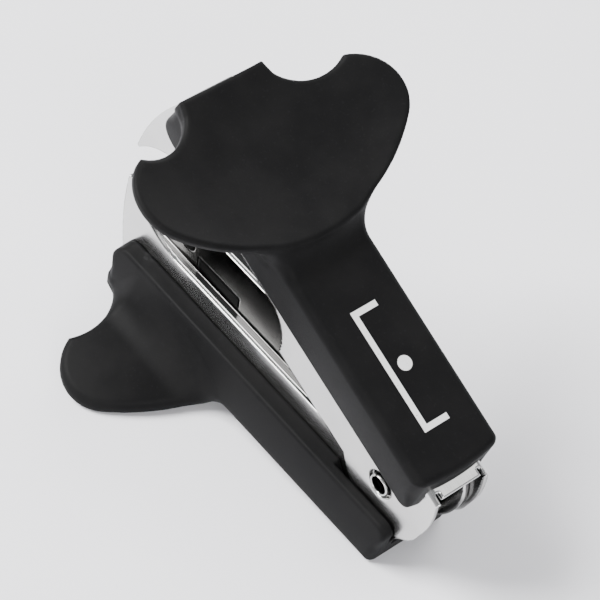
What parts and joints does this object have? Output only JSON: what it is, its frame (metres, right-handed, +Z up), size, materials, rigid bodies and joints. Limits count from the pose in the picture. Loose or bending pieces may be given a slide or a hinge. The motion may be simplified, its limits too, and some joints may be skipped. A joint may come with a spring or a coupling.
{
  "type": "staple remover",
  "caption": "Jaw-type staple remover: two nested spring-loaded steel channels with claws, hinged at the rear, with plastic grips and winged finger rests.",
  "frame": {"origin": "under the middle of the open object, on the surface that it stands on", "axes": "+X towards the mouth, along the length; +Y to the left, along the hinge pin; +Z up, from the lower jaw to the upper"},
  "size_m": [0.0694, 0.0446, 0.054],
  "materials": {
    "upper_jaw": "satin nickel-plated steel",
    "lower_jaw": "satin nickel-plated steel",
    "upper_cover": "fine-grained black",
    "lower_cover": "fine-grained black",
    "pivot_pin": "nickel-plated steel",
    "torsion_spring": "drawn spring wire"
  },
  "bodies": {
    "lower": {"lower_jaw": "lower_jaw", "lower_cover": "lower_cover", "torsion_spring": "torsion_spring"},
    "upper": {"upper_jaw": "upper_jaw", "upper_cover": "upper_cover", "pivot_pin": "pivot_pin"}
  },
  "joints": [
    {"name": "jaw_pivot", "type": "hinge", "parent": "lower", "child": "upper", "pos_m": [-0.02414, 0, 0.01388], "axis": [0, 1, 0], "range_deg": [0, 22.5], "stiffness_Nm_per_rad": 0.1, "springref_deg": -57.3, "deforming": ["torsion_spring"]}
  ]
}
